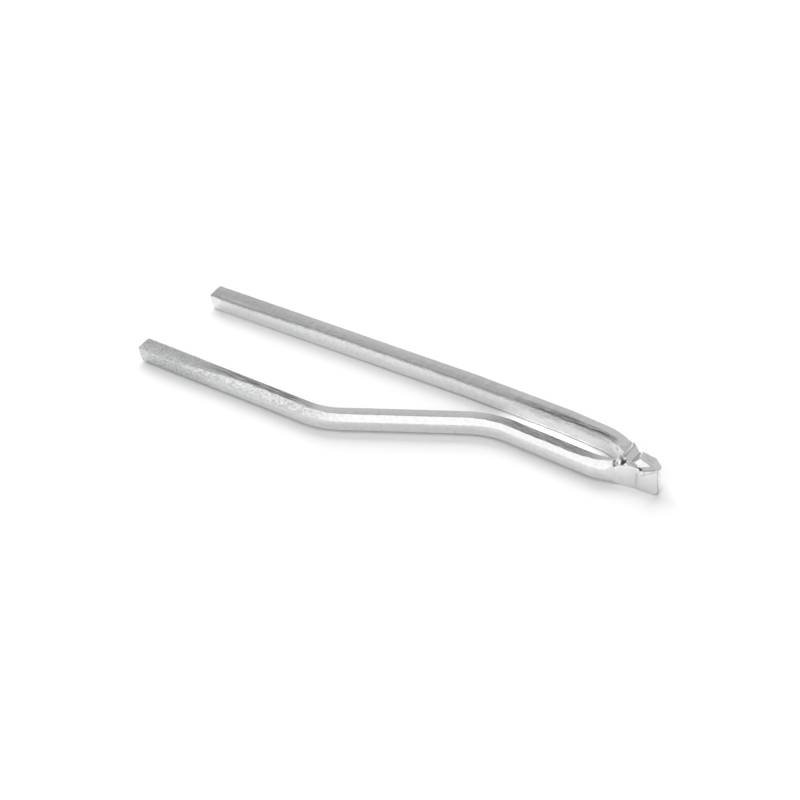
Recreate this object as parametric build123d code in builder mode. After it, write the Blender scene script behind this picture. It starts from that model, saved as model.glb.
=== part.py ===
"""Two-pronged cable needle of 4 mm aluminium wire: a straight prong and a cranked prong,
whose ends are pressed together side by side into one flat-sided head.

Millimetres.  +X runs along the straight prong towards the head, +Y from the cranked prong
to the straight one, +Z up.  The origin is the middle of the bounding box's bottom face.
"""

import os
from math import radians, sin, tan

from build123d import *

# Wire and overall size
wire_d = 4.0
wire_r = wire_d / 2
length = 100.0
tip_x = -length / 2
end_x = length / 2
tip_bevel = 0.45

# The axis lines reach this far either side of the middle
reach = 11.8

# Head: its tallest point, its width between the jaws, and how far it stands below the wires
head_h = 5.3
head_w = 4.4
head_proud = 0.3
wire_z = head_proud + wire_r
near_y = 2.25
far_y = near_y + head_w
end_w = 1.8

# Straight prong: its axis closes gently on the head, then turns in to it
straight_route = [
    (tip_x, reach),
    (7.0, reach),
    (27.9, 10.98),
    (37.2, 9.96),
    (end_x - 2.5, 4.5),
]
straight_radii = [90.0, 60.0, 12.0]

# Cranked prong: a tip run that toes in a little, the crank, the neck run and the head
toe_in = radians(2.2)
crank_turn = radians(30.2)
crank_x = -9.5
crank_y = -reach - 0.13
neck_x = 16.2
neck_y = crank_y + (neck_x - crank_x) * tan(crank_turn)
cranked_tip_x = tip_x + (wire_r - tip_bevel) * sin(toe_in)
cranked_tip_y = crank_y + (crank_x - cranked_tip_x) * tan(toe_in)
cranked_route = [
    (cranked_tip_x, cranked_tip_y),
    (crank_x, crank_y),
    (neck_x, neck_y),
    (38.4, 1.36),
    (42.8, 2.55),
    (end_x - 4.0, 2.55),
]
cranked_radii = [12.0, 15.0, 9.0, 6.0]

# The two jaws of the press in plan: each ramps in to a flat, and the far one cuts the end's corner
near_jaw = [(39.2, near_y - 2.4), (42.0, near_y), (end_x, near_y)]
far_jaw = [
    (40.9, far_y + 3.2),
    (43.9, far_y + 0.25),
    (end_x - 2.6, far_y),
    (end_x, near_y + end_w),
]

# Upright joint plane between the two wires, from the crotch to the end
crotch_x = 41.0
seam_in_crotch = 2.3
seam_in_end = 0.9
seam_slope = (seam_in_end - seam_in_crotch) / (end_x - crotch_x)
seam_x = crotch_x - 3.0
seam_line = [
    (seam_x, near_y + seam_in_crotch + seam_slope * (seam_x - crotch_x)),
    (end_x, near_y + seam_in_end),
]

# Side outlines of the two halves of the head, from the crotch to the end and back
crease_x = 42.0
near_side = [
    (crotch_x, 0.7),
    (crease_x + 1.0, 0.0),
    (end_x, 0.0),
    (end_x, head_h - 0.05),
    (end_x - 3.0, 3.8),
    (end_x - 4.4, 4.6),
    (crease_x + 0.9, 4.4),
    (crotch_x, 3.6),
]
far_side = [
    (crotch_x, 0.7),
    (crease_x + 1.5, 0.0),
    (end_x - 0.9, 0.0),
    (end_x, 0.8),
    (end_x, head_h),
    (end_x - 4.9, 4.4),
    (crease_x, 4.5),
    (crotch_x, 3.6),
]


def axis_route(corners, radii):
    """Straight runs and tangent bends through the corners, at the height of the wire's axis."""
    with BuildLine() as route:
        FilletPolyline(*[(x, y, wire_z) for x, y in corners], radius=radii)
    return route.line


def wire_section(route):
    """The round wire, square to the start of its route."""
    with BuildSketch(Plane(origin=route @ 0, z_dir=route % 0)) as section:
        Circle(wire_r)
    return section.sketch


def outline(corners, plane):
    """Straight-sided outline on a plane."""
    with BuildSketch(plane) as shape:
        with BuildLine():
            Polyline(*corners, close=True)
        make_face()
    return shape.sketch


def beside(line, side_y):
    """Plan outline of everything between a line and side_y."""
    return outline([*line, (line[-1][0], side_y), (line[0][0], side_y)], Plane.XY)


head_plan = [(crotch_x, near_y), (end_x, near_y), *reversed(far_jaw[1:]), (crotch_x, far_y)]
straight_axis = axis_route(straight_route, straight_radii)
cranked_axis = axis_route(cranked_route, cranked_radii)

with BuildPart() as straight_prong:
    extrude(outline(head_plan, Plane.XY), amount=head_h)
    extrude(outline(far_side, Plane.XZ), amount=reach, both=True, mode=Mode.INTERSECT)
    sweep(wire_section(straight_axis), path=straight_axis)
    extrude(beside(far_jaw, 2 * reach), amount=head_h, mode=Mode.SUBTRACT)
    extrude(beside(seam_line, -reach), amount=head_h, mode=Mode.SUBTRACT)
    chamfer(straight_prong.faces().sort_by(Axis.X)[0].edges(), tip_bevel)

with BuildPart() as cranked_prong:
    extrude(outline(head_plan, Plane.XY), amount=head_h)
    extrude(outline(near_side, Plane.XZ), amount=reach, both=True, mode=Mode.INTERSECT)
    sweep(wire_section(cranked_axis), path=cranked_axis)
    extrude(beside(near_jaw, -reach), amount=head_h, mode=Mode.SUBTRACT)
    extrude(beside(seam_line, 2 * reach), amount=head_h, mode=Mode.SUBTRACT)
    chamfer(cranked_prong.faces().sort_by(Axis.X)[0].edges(), tip_bevel)

os.makedirs("parts", exist_ok=True)
for name, piece in [("straight_prong", straight_prong), ("cranked_prong", cranked_prong)]:
    piece.part.label = name
    export_step(piece.part, f"parts/{name}.step")
    print(name, "volume", round(piece.part.volume, 1), "box", piece.part.bounding_box())
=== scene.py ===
"""Looks of the two-pronged cable needle: two lengths of aluminium wire pressed together at the head.

Metres in Blender; the shape functions work in millimetres, in the frame of the CAD model:
+X towards the head, +Y from the cranked prong to the straight prong, +Z up.
"""
import math

import bpy
import numpy as np
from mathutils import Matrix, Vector


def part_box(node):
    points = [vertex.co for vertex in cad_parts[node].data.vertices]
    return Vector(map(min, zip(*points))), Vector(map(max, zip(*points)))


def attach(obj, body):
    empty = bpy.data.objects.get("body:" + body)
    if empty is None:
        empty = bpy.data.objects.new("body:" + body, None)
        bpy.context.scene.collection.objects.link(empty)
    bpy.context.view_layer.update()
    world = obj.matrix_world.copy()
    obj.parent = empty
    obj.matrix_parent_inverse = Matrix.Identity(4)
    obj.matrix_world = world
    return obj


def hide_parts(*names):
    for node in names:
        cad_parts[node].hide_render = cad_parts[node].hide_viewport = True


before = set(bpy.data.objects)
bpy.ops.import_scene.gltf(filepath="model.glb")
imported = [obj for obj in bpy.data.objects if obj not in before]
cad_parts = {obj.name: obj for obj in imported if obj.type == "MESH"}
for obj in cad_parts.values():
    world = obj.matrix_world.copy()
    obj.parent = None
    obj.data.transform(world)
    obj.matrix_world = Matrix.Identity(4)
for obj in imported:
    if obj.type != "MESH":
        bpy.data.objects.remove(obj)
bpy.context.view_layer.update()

MM = 0.001

# ---------------------------------------------------------------- sizes from the frame, in mm
straight_low, straight_high = (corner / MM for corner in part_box("straight_prong"))
WIRE_R = 2.0
TIP_LIFT = 0.3
TIP_X = straight_low.x
END_X = straight_high.x
REACH = straight_high.y - WIRE_R
HEAD_H = straight_high.z
WIRE_Z = TIP_LIFT + WIRE_R

# Tips: the bevel of the CAD model, the one that is seen, and the slant of the cut
TIP_BEVEL = 0.45
VISIBLE_BEVEL = 0.38
TIP_SLANT = 0.28
TIP_LONGEST = math.radians(120)

# Corners of the rolled wire: the upper ridge, and the lower front corner of each prong
RIDGE_R = 2.2
STRAIGHT_CORNER_R = 2.35
CRANKED_CORNER_R = 2.12

# Head: its near and far faces, its width at the end, and how much shorter the near half is
HEAD_W = 4.4
NEAR_Y = 2.25
FAR_Y = NEAR_Y + HEAD_W
END_W = 1.5
NEAR_SHORT = 0.12

# Routes of the two axes, as in the CAD model
STRAIGHT_CORNERS = [(TIP_X, REACH), (7.0, REACH), (27.9, 10.98), (37.2, 9.96), (END_X - 2.5, 4.5)]
STRAIGHT_RADII = [90.0, 60.0, 12.0]

TOE_IN = math.radians(2.2)
CRANK_TURN = math.radians(30.2)
CRANK_X = -9.5
CRANK_Y = -REACH - 0.13
NECK_X = 16.2
NECK_Y = CRANK_Y + (NECK_X - CRANK_X) * math.tan(CRANK_TURN)
CRANKED_TIP_X = TIP_X + (WIRE_R - TIP_BEVEL) * math.sin(TOE_IN)
CRANKED_TIP_Y = CRANK_Y + (CRANK_X - CRANKED_TIP_X) * math.tan(TOE_IN)
CRANKED_CORNERS = [
    (CRANKED_TIP_X, CRANKED_TIP_Y),
    (CRANK_X, CRANK_Y),
    (NECK_X, NECK_Y),
    (38.4, 1.36),
    (42.8, 2.55),
    (END_X - 4.0, 2.55),
]
CRANKED_RADII = [12.0, 15.0, 9.0, 6.0]


# ---------------------------------------------------------------- routes
def rounded_route(corners, radii):
    """Straight runs and tangent arcs through the corners: a list of (length, point, heading, curvature)."""
    corners = [np.array(corner, float) for corner in corners]
    pieces = []
    start = corners[0]
    for before, corner, after, radius in zip(corners, corners[1:], corners[2:], radii):
        way_in = (corner - before) / np.linalg.norm(corner - before)
        way_out = (after - corner) / np.linalg.norm(after - corner)
        turn = math.atan2(way_in[0] * way_out[1] - way_in[1] * way_out[0], way_in @ way_out)
        back = radius * math.tan(abs(turn) / 2)
        bend_start = corner - way_in * back
        heading = math.atan2(way_in[1], way_in[0])
        pieces.append((np.linalg.norm(bend_start - start), start, heading, 0.0))
        pieces.append((radius * abs(turn), bend_start, heading, math.copysign(1 / radius, turn)))
        start = corner + way_out * back
    last = corners[-1] - start
    pieces.append((np.linalg.norm(last), start, math.atan2(last[1], last[0]), 0.0))
    return pieces


def along(route, distance):
    """Point and heading at a distance along a route; beyond its end, straight on."""
    for length, start, heading, curvature in route:
        if distance <= length or start is route[-1][1]:
            break
        distance -= length
    if curvature == 0:
        return start + distance * np.array([math.cos(heading), math.sin(heading)]), heading
    end = heading + curvature * distance
    shift = np.array([math.sin(end) - math.sin(heading), math.cos(heading) - math.cos(end)])
    return start + shift / curvature, end


def route_length(route):
    return sum(piece[0] for piece in route)


# ---------------------------------------------------------------- small shape tools
def smooth_max(a, b, rounding):
    return 0.5 * (a + b + np.sqrt((a - b) ** 2 + rounding**2))


def smooth_min(a, b, rounding):
    return 0.5 * (a + b - np.sqrt((a - b) ** 2 + rounding**2))


def ease(x, start, end):
    """0 before start, 1 after end, smooth between."""
    t = np.clip((x - start) / (end - start), 0, 1)
    return t * t * (3 - 2 * t)


def hump(x, width):
    return np.exp(-((x / width) ** 2))


def line(x, points):
    """Height at x of an open outline of straight stretches."""
    return np.interp(x, [p[0] for p in points], [p[1] for p in points])


def plane(a, b, c):
    """Height over plan (u, v) of the plane through three points."""
    a, b, c = (np.array(p, float) for p in (a, b, c))
    normal = np.cross(b - a, c - a)
    return lambda u, v: a[2] - (normal[0] * (u - a[0]) + normal[1] * (v - a[1])) / normal[2]


def from_stretch(u, v, start, end):
    """Distance in plan from a straight stretch."""
    start, end = np.array(start, float), np.array(end, float)
    way = end - start
    t = np.clip(((u - start[0]) * way[0] + (v - start[1]) * way[1]) / (way @ way), 0, 1)
    return np.hypot(u - start[0] - t * way[0], v - start[1] - t * way[1])


class Ripple:
    """Smooth seeded unevenness over a straightened wire: distance along and angle round it."""

    def __init__(self, seed, count, wave_low, wave_high, turns):
        rng = np.random.default_rng(seed)
        self.wave = 2 * math.pi / rng.uniform(wave_low, wave_high, count)
        self.turns = rng.integers(-turns, turns + 1, count)
        self.phase = rng.uniform(0, 2 * math.pi, count)
        self.size = rng.uniform(0.5, 1.0, count) / math.sqrt(count)

    def __call__(self, s, angle):
        total = np.zeros(np.broadcast(s, angle).shape)
        for wave, turns, phase, size in zip(self.wave, self.turns, self.phase, self.size):
            total += size * np.sin(wave * s + turns * angle + phase)
        return total


# ---------------------------------------------------------------- sections of the wire
def turn_from(angle, centre):
    """Signed difference of two angles."""
    return (angle - centre + math.pi) % (2 * math.pi) - math.pi


def faceted_section(angle, corners):
    """Radius of a section with rolled flats.

    Corners are (turn in degrees, radius, bulge of the side that follows): bulge 0 is flat and 1 is round.
    """
    turns = np.degrees(angle) % 360
    radius = np.full(np.broadcast(turns, corners[0][0]).shape, WIRE_R)
    for (start, first, bulge), (end, last, _) in zip(corners, corners[1:]):
        far, near = np.radians(turns - start), np.radians(end - turns)
        spread = np.maximum(first * np.sin(far) + last * np.sin(near), 0.05)
        chord = first * last * np.sin(far + near) / spread
        arc = (first * near + last * far) / (far + near)
        side = (1 - bulge) * chord + bulge * arc
        radius = np.where((turns >= start) & (turns <= end), side, radius)
    return radius


def waver(s, seed):
    """Seeded wandering along the wire, about 1 high."""
    rng = np.random.default_rng(seed)
    waves = 2 * math.pi / rng.uniform(0.8, 3.5, 24)
    phases = rng.uniform(0, 2 * math.pi, 24)
    return sum(np.sin(wave * s + phase) for wave, phase in zip(waves, phases)) / 3.5


# Turn in degrees of the edges between flats, against distance from the tip
RIDGE_LINE = [
    (0, 150.0), (3, 154.0), (9, 154.0), (18, 149.0), (25, 145.0), (41, 144.0),
    (56, 147.0), (62, 147.0), (69, 141.0), (78, 143.5), (85, 136.0), (90, 135.0),
]
UPPER_EDGE = [
    (8, 146), (14, 136), (20, 120), (26, 112), (36, 111), (42, 119), (46, 121.5),
    (66, 121.5), (71, 122), (88, 120), (92, 108), (95, 95), (97, 91), (99, 91),
]
LOWER_EDGE = [
    (8, 156), (20, 157), (36, 158), (42, 160), (46, 162), (66, 162),
    (72, 156), (89, 155), (93, 154), (97, 156), (99, 156),
]


def squared_section(s, angle, corner_r):
    """Wire rolled to a soft square with a sharp ridge facing up and out and a flat underside."""
    ridge = line(s, RIDGE_LINE) + 0.8 * waver(s, 41)
    return faceted_section(angle, [
        (0, 1.86, 0.8), (60, 2.03, 0.13), (ridge, RIDGE_R, 0.08), (230, corner_r, 1.0),
        (236, corner_r + 0.02, 0.0), (297, 2.21, 1.0), (318, 2.05, 0.5), (360, 1.86, 1.0),
    ])


def straight_section(s, angle):
    return squared_section(s, angle, STRAIGHT_CORNER_R)


def cranked_section(s, angle):
    """Soft square at the tip, then long flats on top, on the upper front and on the lower front."""
    square = 1 - ease(s, 6, 24)
    ragged = 1 - 0.85 * ease(s, 38, 44) * (1 - ease(s, 66, 71))
    upper = line(s, UPPER_EDGE) + 1.5 * ragged * waver(s, 42)
    lower = line(s, LOWER_EDGE) + 0.8 * ragged * waver(s, 43)
    faceted = faceted_section(angle, [
        (60.0, WIRE_R, 0.25), (upper, WIRE_R, 0.35), (lower, WIRE_R, 0.15), (226.0, 1.98, 1.0),
        (236.0, 2.02, 0.1), (300.0, 2.1, 0.8), (330.0, WIRE_R, 1.0),
    ])
    return square * squared_section(s, angle, CRANKED_CORNER_R) + (1 - square) * faceted


# ---------------------------------------------------------------- the two halves of the pressed head
# Plan places are u, 0 at the end and below 0 towards the tips, and v, in from the near face.
# The outer faces and the seam are given as Y at each X.
NEAR_JAW = [
    (36.0, NEAR_Y - 4.8), (40.2, NEAR_Y - 2.7), (41.5, NEAR_Y - 1.3), (42.7, NEAR_Y - 0.55),
    (44.2, NEAR_Y - 0.15), (46.0, NEAR_Y - 0.03), (END_X, NEAR_Y),
]
FAR_JAW = [
    (36.0, FAR_Y + 7.0), (39.4, FAR_Y + 4.6), (41.1, FAR_Y + 2.95), (43.9, FAR_Y + 0.3),
    (END_X - 2.6, FAR_Y), (END_X, NEAR_Y + END_W),
]
SEAM = [(38.0, 5.0), (40.9, 4.42), (43.2, 3.25), (45.6, 2.75), (46.6, 2.70), (END_X, 2.66)]
# The crest of the crease and the start of the pressed stretch are given as u at each v.
CREASE = [(-1.0, -8.75), (0.0, -8.6), (1.96, -7.85), (6.15, -8.2), (9.0, -8.8)]
PRESS_START = [
    (-1.9, -7.86), (-1.2, -8.1), (-0.5, -8.34), (0.3, -8.6), (1.96, -8.15), (6.15, -8.5), (9.0, -9.1),
]

# Corners of the facets on top of the far half, as (u, v, height)
WINDOW_LEFT = (-5.98, 1.25, 4.2)
APEX = (-4.56, 2.1, 4.95)
CREST_END = (-1.64, 1.0, 4.82)
CREST_FOOT = (-1.0, 0.4, 4.86)
RISER_FOOT = (-5.45, 1.2, 4.2)
BACK_NOTCH = (-5.67, 4.46, 4.4)
BACK_EDGE = (-2.67, 4.39, 4.4)
END_TOP = (0.0, 1.6, HEAD_H)
window_facet = plane(WINDOW_LEFT, APEX, CREST_END)
back_facet = plane(APEX, CREST_END, BACK_EDGE)
riser_facet = plane(RISER_FOOT, APEX, BACK_NOTCH)
end_facet = plane(CREST_END, CREST_FOOT, END_TOP)
tooth_facet = plane(CREST_END, BACK_EDGE, END_TOP)

# Top of the near half over u: height of its outer edge, and how fast it rises inwards from there
NEAR_EDGE = [
    (-9.5, 3.0), (-8.61, 3.3), (-7.46, 3.75), (-6.1, 4.15), (-4.55, 4.62), (-3.73, 3.98),
    (-3.05, 2.85), (-1.58, 4.03), (-0.09, HEAD_H - 0.1), (0.0, HEAD_H - 0.15),
]
NEAR_RISE = [
    (-8.6, 1.1), (-5.6, 0.9), (-4.6, 0.2), (-3.9, 0.2), (-3.4, 1.2), (-3.05, 2.1), (-1.58, 0.95), (0.0, 0.1),
]
GROOVE_U = -4.1
OUT_OF_REACH = 9.0


def dimple(u, v):
    """Depth of the dimple behind the crease."""
    return 0.90 * hump(from_stretch(u, v, (-7.2, 1.05), (-7.0, 0.55)), 0.34)


def pits(u, v):
    """Depth of the dimple, the gap at the near edge and the nick on the back edge."""
    gap = 0.4 * hump(from_stretch(u, v, (-4.2, 0.5), (-3.5, 0.45)), 0.14)
    nick = 0.3 * hump(from_stretch(u, v, (-5.55, 4.2), (-5.75, 5.0)), 0.16)
    return dimple(u, v) + gap + nick


def crack(u, z):
    """Share of the depth of the fine crack that climbs across the near face to the end."""
    return hump(from_stretch(u, z, (-3.2, 2.9), (-0.3, 4.75)), 0.11)


def crease(u, v):
    """Height of the raised fold across both halves, with its longer slope towards the tips."""
    past = u - line(v, CREASE)
    return 0.40 * ease(past, -0.50, 0.30) * (1 - ease(past, 0.26, 0.42)) * (1 - ease(v, 4.6, 6.2))


def ramp(u):
    """Height of the pressed top between the crease and the facets."""
    return 4.42 - 0.07 * (u + 7.8)


def far_top(u, v):
    tooth = smooth_min(end_facet(u, v), tooth_facet(u, v), 0.04)
    front = smooth_min(window_facet(u, v), riser_facet(u, v), 0.05)
    peak = smooth_max(smooth_min(front, back_facet(u, v), 0.05), tooth, 0.04)
    rest = smooth_max(ramp(u) - 0.02 * (v - 2), peak, 0.04)
    return np.minimum(rest + crease(u, v), HEAD_H) - pits(u, v)


def near_top(u, v):
    top = line(u, NEAR_EDGE) + line(u, NEAR_RISE) * np.clip(v, 0, 3)
    limit = ramp(u) + OUT_OF_REACH * ease(u, -4.2, -3.4)
    return smooth_min(top, limit, 0.08) + crease(u, v) * ease(v, -1.0, 0.3) - pits(u, v)


# The shapes below are fields over space: below 0 inside the metal, above 0 outside.
def pressed(wire, x, v, z, top, low):
    """A wire that ends in a block between a low and a top surface."""
    start = END_X + line(v, PRESS_START) + 0.1 * np.abs(z - WIRE_Z)
    block = smooth_max(z - top, low - z, 0.06)
    block = smooth_max(block, (start - x) * 0.8, 0.08)
    shape = smooth_min(wire, block, 0.10)
    return smooth_max(shape, np.where(x > start, z - top, -OUT_OF_REACH), 0.05)


def seam_lean(x, z):
    """How far the seam leans over towards the far side near the floor."""
    return 0.3 * (1 - ease(z, 1.0, 3.2)) * ease(x, 44, 46)


def near_half(wire, x, y, z):
    """The cranked prong's end: flat towards -Y, its top edge rising to a hump, dropping and rising again."""
    u, v = x - END_X, y - NEAR_Y
    low = line(x, [(41.0, 0.7), (43.0, 0.04), (END_X - 0.8, 0.0), (END_X, 0.2)])
    shape = pressed(wire, x, v, z, near_top(u, v), low)
    groove = 0.10 * hump(u - GROOVE_U, 0.24) * (1 - ease(z, 2.9, 3.4)) + 0.06 * crack(u, z)
    shape = smooth_max(shape, line(x, NEAR_JAW) + groove - y, 0.10)
    return smooth_max(shape, y - line(x, SEAM) - seam_lean(x, z), 0.07)


def far_half(wire, x, y, z):
    """The straight prong's end: runs in at a slant, flattened behind, rising to a tooth at the end."""
    u, v = x - END_X, y - NEAR_Y
    low = line(x, [(41.0, 0.7), (43.5, 0.04), (END_X - 1.6, 0.0), (END_X, 0.9)])
    shape = pressed(wire, x, v, z, far_top(u, v), low)
    waist = 0.35 * ease(x, 47.5, END_X) * (1 - ease(z, 3.5, 5.2))
    shape = smooth_max(shape, y - line(x, FAR_JAW) + waist, 0.12)
    return smooth_max(shape, line(x, SEAM) + seam_lean(x, z) - y, 0.07)


# ---------------------------------------------------------------- sweeping a prong
ROUND = 176
RAYS = 720
RAY_ANGLES = np.linspace(0, 2 * math.pi, RAYS, endpoint=False)
RAY_REACH = 6.5
HALVINGS = 17
TIP_STEPS = [0.0, 0.05, 0.12, 0.2, 0.28, 0.36, 0.42, 0.46, 0.5, 0.56, 0.65, 0.8]
SHANK_STEP = 0.3
HEAD_STEP = 0.06
TURN_X = 37.4
HEAD_X = 40.0
PLAN_X = (32.0, 52.0)
PLAN_Y = (-4.0, 15.0)
PLAN_STEP = 0.05
PLAN_PARTS = 60
DENTS = 46
TIP_RINGS = 8
END_RINGS = 10
CAP_DEPTH = 0.015
CAP_UNEVENNESS = 0.012
SLOW_WAVES = 0.010
SMALL_WAVES = 0.0035
BOX_MARGIN = 0.012


class Plan:
    """Offset from a route and distance along it, looked up over the plan of the head."""

    def __init__(self, route):
        self.xs = np.arange(*PLAN_X, PLAN_STEP)
        self.ys = np.arange(*PLAN_Y, PLAN_STEP)
        s = np.arange(route_length(route) - 30, route_length(route) + 12, 0.08)
        found = [along(route, d) for d in s]
        points = np.array([f[0] for f in found])
        ways = np.array([(math.cos(f[1]), math.sin(f[1])) for f in found])
        gx, gy = np.meshgrid(self.xs, self.ys, indexing="ij")
        flat = np.stack([gx.ravel(), gy.ravel()], axis=1)
        offset = np.empty(len(flat))
        place = np.empty(len(flat))
        for part in np.array_split(np.arange(len(flat)), PLAN_PARTS):
            apart = flat[part][:, None, :] - points[None, :, :]
            nearest = (apart**2).sum(axis=2).argmin(axis=1)
            away = apart[np.arange(len(part)), nearest]
            way = ways[nearest]
            offset[part] = way[:, 0] * away[:, 1] - way[:, 1] * away[:, 0]
            place[part] = s[nearest] + (away * way).sum(axis=1)
        self.offset = offset.reshape(gx.shape)
        self.place = place.reshape(gx.shape)

    def __call__(self, x, y):
        fx = np.clip((x - self.xs[0]) / PLAN_STEP, 0, len(self.xs) - 1.001)
        fy = np.clip((y - self.ys[0]) / PLAN_STEP, 0, len(self.ys) - 1.001)
        i, j = fx.astype(int), fy.astype(int)
        tx, ty = fx - i, fy - j

        def read(field):
            low = field[i, j] * (1 - tx) + field[i + 1, j] * tx
            high = field[i, j + 1] * (1 - tx) + field[i + 1, j + 1] * tx
            return low * (1 - ty) + high * ty

        return read(self.offset), read(self.place)


def stations(route, core, end_x):
    """Centre, heading and distance along the wire of every section of a prong.

    Sections stand across the route, turn square to X before the head and follow the core through it.
    """
    found = []

    def add(s):
        point, heading = along(route, s)
        if point[0] > HEAD_X - 0.1:
            return False
        found.append((point, heading * (1 - ease(point[0], TURN_X, HEAD_X)), s))
        return True

    for s in [*TIP_STEPS, *np.arange(1.0, route_length(route), SHANK_STEP)]:
        if not add(s):
            break
        if found[-1][0][0] > TURN_X - 1:
            add(s + SHANK_STEP / 2)
    run = np.array([along(route, d)[0] for d in np.arange(0, route_length(route) + 8, 0.2)])
    for x in [*np.arange(HEAD_X, end_x - 0.05, HEAD_STEP), end_x - 0.02]:
        blend = ease(x, HEAD_X - 0.5, HEAD_X + 2.0)
        y = (1 - blend) * np.interp(x, run[:, 0], run[:, 1]) + blend * line(x, core)
        found.append((np.array([x, y]), 0.0, s + x - HEAD_X))
    return found


def tip_inset(s):
    """How far the bevel at the tip draws the section in."""
    return smooth_max(VISIBLE_BEVEL - s, 0.0, 0.05)


def head_radius(centres, across, section, half, plan):
    """Distance from the core to the surface along every ray of every section in the head, by halving."""
    low = np.zeros((len(centres), RAYS))
    high = np.full((len(centres), RAYS), RAY_REACH)
    cos, sin = np.cos(RAY_ANGLES), np.sin(RAY_ANGLES)
    for _ in range(HALVINGS):
        middle = (low + high) / 2
        x = centres[:, 0:1] + across[:, 0:1] * middle * cos
        y = centres[:, 1:2] + across[:, 1:2] * middle * cos
        z = WIRE_Z + middle * sin
        offset, place = plan(x, y)
        wire = np.hypot(offset, z - WIRE_Z) - section(place, np.arctan2(z - WIRE_Z, offset))
        inside = half(wire, x, y, z) < 0
        low = np.where(inside, middle, low)
        high = np.where(inside, high, middle)
    return (low + high) / 2


def even_loop(radius):
    """A section given by its radius at every ray, as ROUND points at even steps of its girth."""
    ring = np.stack([radius * np.cos(RAY_ANGLES), radius * np.sin(RAY_ANGLES)], axis=1)
    closed = np.vstack([ring, ring[:1]])
    girth = np.concatenate([[0], np.cumsum(np.hypot(*np.diff(closed, axis=0).T))])
    at = np.linspace(0, girth[-1], ROUND, endpoint=False)
    return np.stack([np.interp(at, girth, closed[:, 0]), np.interp(at, girth, closed[:, 1])], axis=1)


def wear(centres, s, angles, seed):
    """How far the surface stands out from its ideal shape: waves and dents, less a margin to the CAD box."""
    wander = Ripple(seed, 14, 9.0, 40.0, 2)
    small = Ripple(seed + 1, 60, 0.8, 5.0, 8)
    free = 1 - ease(centres[:, 0], END_X - 10, END_X - 8)[:, None]
    waves = SLOW_WAVES * wander(s[:, None], angles) + SMALL_WAVES * small(s[:, None], angles)
    swell = waves * (0.25 + 0.75 * free) - BOX_MARGIN
    rng = np.random.default_rng(seed + 5)
    for _ in range(DENTS):
        at, turn = rng.uniform(1, 88), math.radians(rng.uniform(60, 230))
        long, wide, deep = rng.uniform(0.12, 0.5), rng.uniform(0.05, 0.16), rng.uniform(0.01, 0.04)
        swell -= deep * hump(s[:, None] - at, long) * hump(turn_from(angles, turn), wide)
    return swell


def cap(rim, turns, way, rings, face):
    """Rings of an end face from its rim inwards, and its middle, uneven as sheared metal is."""
    middle = rim.mean(axis=0)
    out = []
    for k in range(1, rings):
        flat = middle + (rim - middle) * (1 - k / rings)
        lift = CAP_UNEVENNESS * face(np.linalg.norm(flat - middle, axis=1), turns)
        out.append(flat + np.outer(lift + CAP_DEPTH, way))
    return out, middle + way * CAP_DEPTH


def tube(name, loops, first_middle, last_middle):
    """Closed mesh over a row of loops, with a fan of triangles at each end."""
    verts = np.concatenate([np.array(loops).reshape(-1, 3), [first_middle, last_middle]])
    last = (len(loops) - 1) * ROUND
    first_i, last_i = last + ROUND, last + ROUND + 1
    faces = []
    for a in range(0, last, ROUND):
        for j in range(ROUND):
            k = (j + 1) % ROUND
            faces.append((a + j, a + k, a + ROUND + k, a + ROUND + j))
    for j in range(ROUND):
        k = (j + 1) % ROUND
        faces.append((first_i, k, j))
        faces.append((last_i, last + j, last + k))
    mesh = bpy.data.meshes.new(name)
    mesh.from_pydata((verts * MM).tolist(), [], faces)
    mesh.validate()
    mesh.shade_smooth()
    piece = bpy.data.objects.new(name, mesh)
    bpy.context.scene.collection.objects.link(piece)
    return piece


def mark_place(mesh, s, tip_rings, end_rings):
    """Keep where each point would be if the wire were straight and round, for the drawn grain."""
    flat_s = np.concatenate([np.full(tip_rings, s[0]), s, np.full(end_rings, s[-1])])
    growing = np.linspace(1 / tip_rings, 1, tip_rings, endpoint=False)
    closing = np.linspace(1, 0.1, end_rings)
    shrink = np.concatenate([growing, np.ones(len(s)), closing])
    turn = np.linspace(0, 2 * math.pi, ROUND, endpoint=False)
    count = len(flat_s) * ROUND
    straightened = np.zeros((count + 2, 3), np.float32)
    straightened[:count, 0] = np.repeat(flat_s, ROUND)
    straightened[count:, 0] = s[0], s[-1]
    straightened[:count, 1] = (shrink[:, None] * WIRE_R * np.cos(turn)).ravel()
    straightened[:count, 2] = (shrink[:, None] * WIRE_R * np.sin(turn)).ravel()
    place = mesh.attributes.new("wire_place", "FLOAT_VECTOR", "POINT")
    place.data.foreach_set("vector", straightened.ravel())


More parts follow.
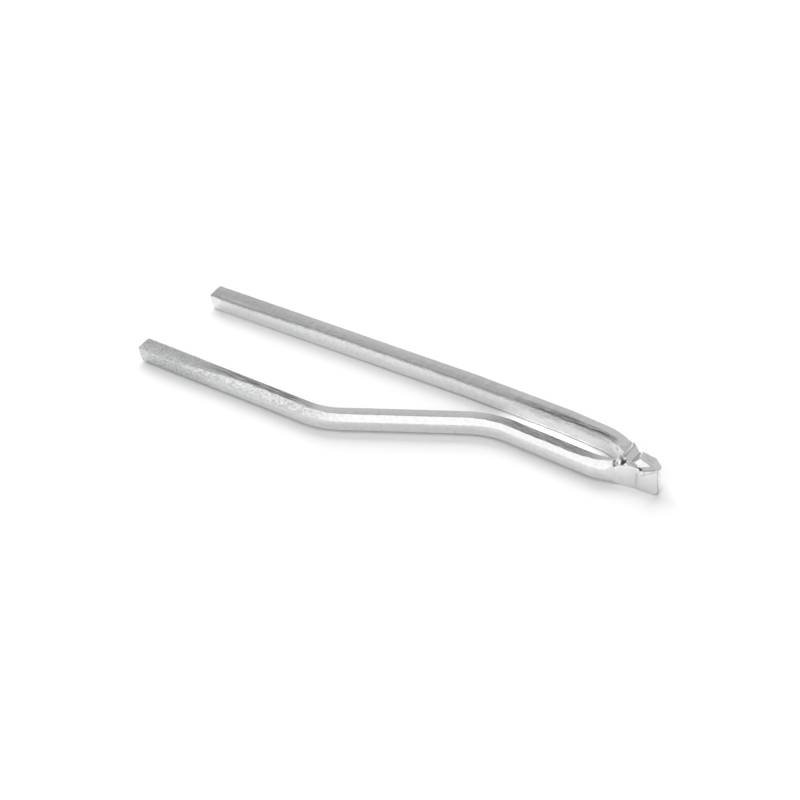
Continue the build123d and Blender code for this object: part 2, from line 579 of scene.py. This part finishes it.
class Prong:
    """One wire from tip to head, with the distance and turn of its points for marks on its surface."""

    def __init__(self, name, corners, radii, core, half, section, end_x, seed):
        route = rounded_route(corners, radii)
        found = stations(route, core, end_x)
        centres = np.array([f[0] for f in found])
        headings = np.array([f[1] for f in found])
        s = np.array([f[2] for f in found])
        across = np.stack([-np.sin(headings), np.cos(headings)], axis=1)
        radius = section(s[:, None], RAY_ANGLES[None, :]) - tip_inset(s[:, None])
        head = np.flatnonzero(centres[:, 0] > TURN_X - 0.5)
        radius[head] = head_radius(centres[head], across[head], section, half, Plan(route))
        loops = np.array([even_loop(row) for row in radius])
        angles = np.arctan2(loops[:, :, 1], loops[:, :, 0]) % (2 * math.pi)

        swell = wear(centres, s, angles, seed)
        grown = loops * (1 + swell / np.linalg.norm(loops, axis=2))[:, :, None]
        cut = TIP_SLANT * (1 - np.cos(angles - TIP_LONGEST)) * (1 - ease(s, 0, 3))[:, None]
        slant = cut * np.linalg.norm(grown, axis=2) / WIRE_R
        self.rows = np.dstack([
            centres[:, 0:1] + across[:, 0:1] * grown[:, :, 0] + across[:, 1:2] * slant,
            centres[:, 1:2] + across[:, 1:2] * grown[:, :, 0] - across[:, 0:1] * slant,
            WIRE_Z + grown[:, :, 1],
        ])

        face = Ripple(seed + 2, 12, 1.5, 4.0, 3)
        ahead = np.column_stack([across[:, 1], -across[:, 0], np.zeros(len(s))])
        tip_rings, tip_middle = cap(self.rows[0], angles[0], ahead[0], TIP_RINGS, face)
        end_rings, end_middle = cap(self.rows[-1], angles[-1], -ahead[-1], END_RINGS, face)
        tip_rings = [np.maximum(ring, [TIP_X, -np.inf, -np.inf]) for ring in tip_rings]
        all_loops = [*reversed(tip_rings), *self.rows, *end_rings]
        self.piece = tube(name, all_loops, tip_middle, end_middle)
        self.tip_count, self.end_count = len(tip_rings), len(end_rings)
        mark_place(self.piece.data, s, self.tip_count, self.end_count)
        self.s = s[:, None]
        self.turn = np.degrees(angles)

    def mark(self, label, values):
        """Keep a share between 0 and 1 for every point, given for the points of the rows."""
        values = np.clip(values, 0, 1)
        tip, end = np.repeat(values[:1], self.tip_count, 0), np.repeat(values[-1:], self.end_count, 0)
        body = np.concatenate([tip, values, end]).ravel()
        whole = np.concatenate([body, [values[0].mean(), values[-1].mean()]]).astype(np.float32)
        self.piece.data.attributes.new(label, "FLOAT", "POINT").data.foreach_set("value", whole)


STRAIGHT_CORE = [(40.0, 8.45), (41.0, 8.0), (42.0, 7.3), (44.0, 6.1), (45.5, 5.2), (47.0, 4.65), (END_X, 3.3)]
CRANKED_CORE = [(40.0, 2.2), (42.0, 3.0), (43.5, 2.85), (45.5, 2.52), (END_X, 2.48)]
straight = Prong(
    "straight_wire", STRAIGHT_CORNERS, STRAIGHT_RADII, STRAIGHT_CORE, far_half, straight_section, END_X, 11)
cranked = Prong(
    "cranked_wire", CRANKED_CORNERS, CRANKED_RADII, CRANKED_CORE, near_half, cranked_section,
    END_X - NEAR_SHORT, 23)


# ---------------------------------------------------------------- rubbed zones, painted shade and painted dark reflections
def band(turn, low, high, soft):
    """1 between two turns about the axis, in degrees."""
    return ease(turn, low - soft, low + soft) * (1 - ease(turn, high - soft, high + soft))


def stretch(s, start, full, fading, end):
    """1 along a stretch of the wire, from full to fading."""
    return ease(s, start, full) * (1 - ease(s, fading, end))


def head_painted_shade(rows):
    """Painted shade in the pits, along the seam, beside the crease and in the groove and the crack, where
    shade falls.
    """
    u, v, z = rows[:, :, 0] - END_X, rows[:, :, 1] - NEAR_Y, rows[:, :, 2]
    on_top = ease(z, 1.8, 3.0)
    on_face = ease(-v, -0.3, -0.1)
    pit = np.maximum(pits(u, v), 0.78 * np.clip(dimple(u, v) / 0.45, 0, 1)) * on_top
    # Painted shade along the step below the riser and in the corner where the crease starts
    riser = 0.6 * hump(from_stretch(u, v, (-5.7, 1.5), (-5.85, 4.8)), 0.16) * on_top
    corner = 0.6 * hump(from_stretch(u, v, (-8.2, -0.8), (-8.45, 0.1)), 0.18) * on_top
    pit = np.maximum(np.maximum(pit, riser), corner)
    seam = hump(rows[:, :, 1] - line(rows[:, :, 0], SEAM), 0.12) * stretch(u, -6.5, -5.5, -0.8, -0.2) * on_top
    past = u - line(v, CREASE)
    beside = (hump(past + 0.62, 0.09) + hump(past - 0.48, 0.09)) * on_top * ease(v, -0.6, 0.2)
    groove = 0.22 * hump(u - GROOVE_U, 0.20) * on_face * (1 - ease(z, 2.9, 3.4)) * ease(z, 0.3, 0.8)
    split = 0.3 * crack(u, z) * on_face
    return np.clip(pit + 0.5 * seam + 0.35 * beside + groove + split, 0, 1)


def mark_straight(prong, streaks):
    """Rubbed ridge and front; painted dark reflection on the top flat beside the ridge, painted shade on the
    side towards the slot.
    """
    s, turn = prong.s, prong.turn
    ridge = line(s, RIDGE_LINE)
    shank = 1 - ease(s, 88, 90)
    front_rub = 0.15 * band(turn, ridge - 1, 225, 2)
    ridge_rub = 0.8 * shank * hump(turn - ridge, 4)
    prong.mark("scuff", 0.10 + front_rub + ridge_rub)

    # Painted dark reflection: a dark band along the top flat beside the ridge, wider near the head, broken
    # into streaks
    painted_ridge_reflection = 0.25 * hump(turn - ridge + 5, 6)
    painted_ridge_reflection += 0.48 * band(turn, 108, ridge, 7) * ease(s, 62, 76)
    painted_ridge_reflection *= shank * np.clip(1 + 0.5 * streaks(s, np.radians(turn)), 0.2, 1.6)
    # Painted shade on the side that faces the slot, near the head
    slot_side = 0.28 * band(turn, ridge, 225, 2) * stretch(s, 64, 74, 88, 91)
    # Painted shade of the head's hollows, with the painted dark reflection and the shade towards the slot
    prong.mark("painted_shade", head_painted_shade(prong.rows) + painted_ridge_reflection + slot_side)


def mark_cranked(prong, streaks):
    """Rubbed tip run and crank; painted dark reflection on the top flats of the tip run and of the neck."""
    s, turn = prong.s, prong.turn
    crank_rub = 0.75 * band(turn, 110, 160, 6) * stretch(s, 10, 18, 36, 46)
    tip_rub = 0.75 * (1 - ease(s, 9, 20))
    crank_top = 0.12 * band(turn, 55, 119, 3) * stretch(s, 40, 44, 64, 69)
    front = 0.12 * band(turn, 158, 225, 3)
    prong.mark("scuff", 0.10 + crank_rub + tip_rub + crank_top + front)

    # Painted dark reflections on the top flats of the neck and of the tip run, broken into streaks
    painted_neck_reflection = 0.55 * band(turn, 55, line(s, UPPER_EDGE), 3) * stretch(s, 65, 76, 88, 97)
    painted_tip_run_reflection = 0.62 * band(turn, 55, 109, 3) * stretch(s, 11, 22, 34, 41)
    dark = (painted_neck_reflection + painted_tip_run_reflection) * np.clip(1 + 0.4 * streaks(s, np.radians(turn)), 0.3, 1.5)
    # Painted shade of the head's hollows, the painted dark reflections, and a slight darkening over the last
    # 2 mm before the end
    prong.mark("painted_shade", head_painted_shade(prong.rows) + dark + 0.07 * ease(s, 97.5, 99.5))


# Streaks that break up the painted dark reflections
painted_band_streaks = Ripple(61, 60, 1.6, 12.0, 24)
mark_straight(straight, painted_band_streaks)
mark_cranked(cranked, painted_band_streaks)


# ---------------------------------------------------------------- shader nodes
class Nodes:
    """Short ways to add nodes to the tree of a material or of the sky."""

    def __init__(self, tree):
        self.tree = tree

    def add(self, kind, **settings):
        made = self.tree.nodes.new(kind)
        for key, value in settings.items():
            setattr(made, key, value)
        return made

    def feed(self, socket, value):
        """Give a socket a plain value, or link it to another node's output."""
        if isinstance(value, (int, float, tuple)):
            socket.default_value = value
        else:
            self.tree.links.new(value, socket)

    def math(self, operation, a, b, clamp=False):
        made = self.add("ShaderNodeMath", operation=operation, use_clamp=clamp)
        self.feed(made.inputs[0], a)
        self.feed(made.inputs[1], b)
        return made.outputs[0]

    def ranged(self, value, low, high, to_low, to_high):
        made = self.add("ShaderNodeMapRange")
        made.inputs["From Min"].default_value = low
        made.inputs["From Max"].default_value = high
        made.inputs["To Min"].default_value = to_low
        made.inputs["To Max"].default_value = to_high
        self.feed(made.inputs["Value"], value)
        return made.outputs["Result"]

    def noise(self, place, scale, detail, stretch, roughness=0.5):
        move = self.add("ShaderNodeVectorMath", operation="MULTIPLY")
        self.feed(move.inputs[0], place)
        self.feed(move.inputs[1], stretch)
        made = self.add("ShaderNodeTexNoise")
        made.inputs["Scale"].default_value = scale
        made.inputs["Detail"].default_value = detail
        made.inputs["Roughness"].default_value = roughness
        self.feed(made.inputs["Vector"], move.outputs[0])
        return made.outputs["Fac"]

    def mix(self, factor, a, b):
        """Colour a where the factor is 0, b where it is 1."""
        made = self.add("ShaderNodeMix", data_type="RGBA")
        self.feed(made.inputs["Factor"], factor)
        self.feed(made.inputs["A"], a)
        self.feed(made.inputs["B"], b)
        return made.outputs["Result"]


# ---------------------------------------------------------------- material
WARM_METAL = (0.890, 0.878, 0.870, 1)
COOL_METAL = (0.870, 0.879, 0.866, 1)
RUBBED_METAL = (0.50, 0.508, 0.525, 1)
# Colour of the painted shade in the hollows of the head and of the painted dark reflections on the top flats
PAINTED_SHADE_COLOUR = (0.13, 0.13, 0.135, 1)
SMOOTH_ROUGHNESS = 0.15
RUBBED_ROUGHNESS = 0.46
RELIEF_STRENGTH = 0.5
RELIEF_DEPTH = 0.06 * MM


def metal_colour(nodes, place, ragged, speckle, mottle, painted_shade):
    """Clouds of a warm and a cool tint, duller where rubbed, darker where shade and dark reflections are
    painted.
    """
    clouds = nodes.noise(place, scale=0.16, detail=1.0, stretch=(1.0, 1.0, 1.0))
    clean = nodes.mix(nodes.ranged(clouds, 0.42, 0.58, 0.0, 1.0), WARM_METAL, COOL_METAL)
    dulling = nodes.math("MULTIPLY", ragged, nodes.ranged(speckle, 0.35, 0.65, 0.2, 1.0))
    dulling = nodes.math("ADD", dulling, nodes.ranged(mottle, 0.35, 0.7, 0.0, 0.22), clamp=True)
    return nodes.mix(painted_shade, nodes.mix(dulling, clean, RUBBED_METAL), PAINTED_SHADE_COLOUR)


def metal_relief(nodes, grain, speckle, mottle, scuff):
    """Fine drawn grain everywhere, and pitting where rubbed."""
    pitting = nodes.math("ADD", speckle, nodes.math("MULTIPLY", mottle, 1.5))
    height = nodes.math("ADD", nodes.math("MULTIPLY", grain, 0.5), nodes.math("MULTIPLY", pitting, scuff))
    relief = nodes.add("ShaderNodeBump")
    relief.inputs["Strength"].default_value = RELIEF_STRENGTH
    relief.inputs["Distance"].default_value = RELIEF_DEPTH
    nodes.feed(relief.inputs["Height"], height)
    return relief.outputs["Normal"]


def aluminium():
    """Drawn aluminium: bright, dull where scuff is 1, dark where the painted shade is 1."""
    material = bpy.data.materials.new("bright_aluminium")
    material.use_nodes = True
    shader = material.node_tree.nodes["Principled BSDF"]
    shader.inputs["Metallic"].default_value = 1.0

    nodes = Nodes(material.node_tree)
    place = nodes.add("ShaderNodeAttribute", attribute_name="wire_place").outputs["Vector"]
    scuff = nodes.add("ShaderNodeAttribute", attribute_name="scuff").outputs["Fac"]
    # Share of painted shade and painted dark reflection at each point
    painted_shade = nodes.add("ShaderNodeAttribute", attribute_name="painted_shade").outputs["Fac"]
    grain = nodes.noise(place, scale=1.4, detail=5.0, stretch=(0.10, 3.0, 3.0))
    mottle = nodes.noise(place, scale=1.1, detail=7.0, stretch=(0.8, 1.0, 1.0), roughness=0.65)
    speckle = nodes.noise(place, scale=2.6, detail=5.0, stretch=(0.7, 1.0, 1.0), roughness=0.7)

    ragged = nodes.math("MULTIPLY", scuff, nodes.ranged(speckle, 0.32, 0.68, 0.55, 1.35), clamp=True)
    rough = nodes.ranged(ragged, 0.0, 1.0, SMOOTH_ROUGHNESS, RUBBED_ROUGHNESS)
    rough = nodes.math("ADD", rough, nodes.ranged(grain, 0.3, 0.7, -0.03, 0.05))
    nodes.feed(shader.inputs["Roughness"], rough)
    colour = metal_colour(nodes, place, ragged, speckle, mottle, painted_shade)
    nodes.feed(shader.inputs["Base Color"], colour)
    nodes.feed(shader.inputs["Normal"], metal_relief(nodes, grain, speckle, mottle, scuff))
    return material


bright = aluminium()
for piece, node_name in ((straight.piece, "straight_prong"), (cranked.piece, "cranked_prong")):
    piece.data.materials.append(bright)
    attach(piece, "root")
    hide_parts(node_name)

# ---------------------------------------------------------------- camera
VIEW_AZIMUTH = math.radians(33.13)
VIEW_HEIGHT = math.radians(33.0)
VIEW_DISTANCE = 0.54
LENS = 135.6
SENSOR_WIDTH = 36.0
LOOK_AT = Vector((-3.14 * MM, 3.53 * MM, 0.0))


def direction(azimuth, height):
    """Way from the object, in degrees: azimuth turned from the camera's side, and height above the floor."""
    turn, lift = VIEW_AZIMUTH + math.radians(azimuth), math.radians(height)
    return Vector((math.sin(turn) * math.cos(lift), -math.cos(turn) * math.cos(lift), math.sin(lift)))


lens = bpy.data.cameras.new("camera")
lens.lens = LENS
lens.sensor_width = SENSOR_WIDTH
lens.clip_start = 0.01
camera = bpy.data.objects.new("camera", lens)
bpy.context.scene.collection.objects.link(camera)
towards_camera = direction(0, math.degrees(VIEW_HEIGHT))
camera.location = LOOK_AT + towards_camera * VIEW_DISTANCE
camera.rotation_euler = (-towards_camera).to_track_quat("-Z", "Y").to_euler()
bpy.context.scene.camera = camera

# ---------------------------------------------------------------- floor
# The floor is tilted, so that both tips and the head rest on it.
TIP_FOOT_X = TIP_X + 0.5
HEAD_FOOT_X = 43.5
FLOOR_TILT = math.atan2(TIP_LIFT, HEAD_FOOT_X - TIP_FOOT_X)
FLOOR_GAP = 0.02
FLOOR_HALF = 3.0
PAPER_WHITE = (0.92, 0.92, 0.92, 1)


def white_paper():
    paper = bpy.data.materials.new("white_paper")
    paper.use_nodes = True
    shader = paper.node_tree.nodes["Principled BSDF"]
    shader.inputs["Base Color"].default_value = PAPER_WHITE
    shader.inputs["Roughness"].default_value = 0.9
    shader.inputs["Specular IOR Level"].default_value = 0.0
    return paper


floor_mesh = bpy.data.meshes.new("floor")
floor_corners = [(-1, -1), (1, -1), (1, 1), (-1, 1)]
floor_mesh.from_pydata([(x * FLOOR_HALF, y * FLOOR_HALF, 0) for x, y in floor_corners], [], [(0, 1, 2, 3)])
floor_mesh.materials.append(white_paper())
floor = bpy.data.objects.new("floor", floor_mesh)
bpy.context.scene.collection.objects.link(floor)
floor.location = (HEAD_FOOT_X * MM, 0, -FLOOR_GAP * MM)
floor.rotation_euler = (0, FLOOR_TILT, 0)


# ---------------------------------------------------------------- light
def softbox(name, azimuth, height, distance, width, tall, irradiance):
    """Area light that gives a facing surface at the object this irradiance."""
    data = bpy.data.lights.new(name, "AREA")
    data.shape = "RECTANGLE"
    data.size = width
    data.size_y = tall
    data.energy = irradiance * math.pi * distance**2
    light = bpy.data.objects.new(name, data)
    bpy.context.scene.collection.objects.link(light)
    way = direction(azimuth, height)
    light.location = way * distance
    light.rotation_euler = way.to_track_quat("Z", "Y").to_euler()
    return light


key = softbox("key", 190, 44, 3.0, 3.0, 3.2, 3.5)
key.visible_glossy = False

SLOT_LIGHT_FAR = 0.5
SLOT_LIGHT_REACH = 2.8 * MM
SLOT_LIGHT_POWER = 5.5
SLOT_LIGHT_HEIGHT = 48
SLOT_PLACES = [(18.8, 9.9), (23.5, 9.6), (28.5, 9.2), (33.0, 8.8)]


def slot_light(number, x, y):
    """Narrow light over the cranked prong, onto the paper seen in the slot between the prongs."""
    data = bpy.data.lights.new(f"slot_light_{number}", "SPOT")
    data.energy = SLOT_LIGHT_POWER
    data.spot_size = 2 * math.atan(SLOT_LIGHT_REACH / SLOT_LIGHT_FAR)
    data.spot_blend = 0.5
    data.shadow_soft_size = 0.002
    light = bpy.data.objects.new(data.name, data)
    bpy.context.scene.collection.objects.link(light)
    way = direction(0, SLOT_LIGHT_HEIGHT)
    light.location = Vector((x * MM, y * MM, 0)) + way * SLOT_LIGHT_FAR
    light.rotation_euler = way.to_track_quat("Z", "Y").to_euler()
    light.visible_glossy = False


for number, (x, y) in enumerate(SLOT_PLACES):
    slot_light(number, x, y)

# ---------------------------------------------------------------- sky
world = bpy.data.worlds.new("studio")
bpy.context.scene.world = world
world.use_nodes = True
background = world.node_tree.nodes["Background"]
sky = Nodes(world.node_tree)
sky_way = sky.add("ShaderNodeTexCoord").outputs["Generated"]


def panel(azimuth, height, radius, soft):
    """Mask of a round soft panel of the sky."""
    dot = sky.add("ShaderNodeVectorMath", operation="DOT_PRODUCT")
    sky.feed(dot.inputs[0], sky_way)
    dot.inputs[1].default_value = direction(azimuth, height)
    edge = sky.add("ShaderNodeMapRange", interpolation_type="SMOOTHSTEP")
    edge.inputs["From Min"].default_value = math.cos(math.radians(radius + soft))
    edge.inputs["From Max"].default_value = math.cos(math.radians(radius - soft))
    sky.feed(edge.inputs["Value"], dot.outputs["Value"])
    return edge.outputs["Result"]


def over(base, mask, value):
    """Base radiance, with another laid over it where the mask is 1."""
    keep = sky.math("MULTIPLY", base, sky.math("SUBTRACT", 1.0, mask))
    return sky.math("ADD", keep, sky.math("MULTIPLY", mask, value))


# The sky that the metal reflects: (azimuth, height, radius, soft edge, radiance), each over those before
SKY_BASE = 0.70
SKY_PANELS = [
    (-90, 0, 55, 12, 0.80),
    (180, 42, 34, 12, 0.64),
    (-148, 64, 20, 10, 0.44),
    (-15, 45, 44, 2.5, 1.2),
    (-88, 43, 34, 3, 1.16),
    (110, 22, 42, 15, 0.42),
    (-105, 72, 14, 4, 1.1),
]
# The sky that every other ray meets, so the one that lights the paper: brighter from the camera's side
FILL_BASE = 0.12
FILL_PANELS = [(0, 12, 78, 25, 0.92), (-15, 0, 55, 15, 1.3)]


def layered(base, panels):
    for *shape, radiance in panels:
        base = over(base, panel(*shape), radiance)
    return base


seen = layered(SKY_BASE, SKY_PANELS)
fill = layered(FILL_BASE, FILL_PANELS)
glossy = sky.add("ShaderNodeLightPath").outputs["Is Glossy Ray"]
sky.feed(background.inputs["Strength"], over(fill, glossy, seen))
background.inputs["Color"].default_value = (1, 1, 1, 1)

bpy.context.scene.view_settings.view_transform = "Standard"
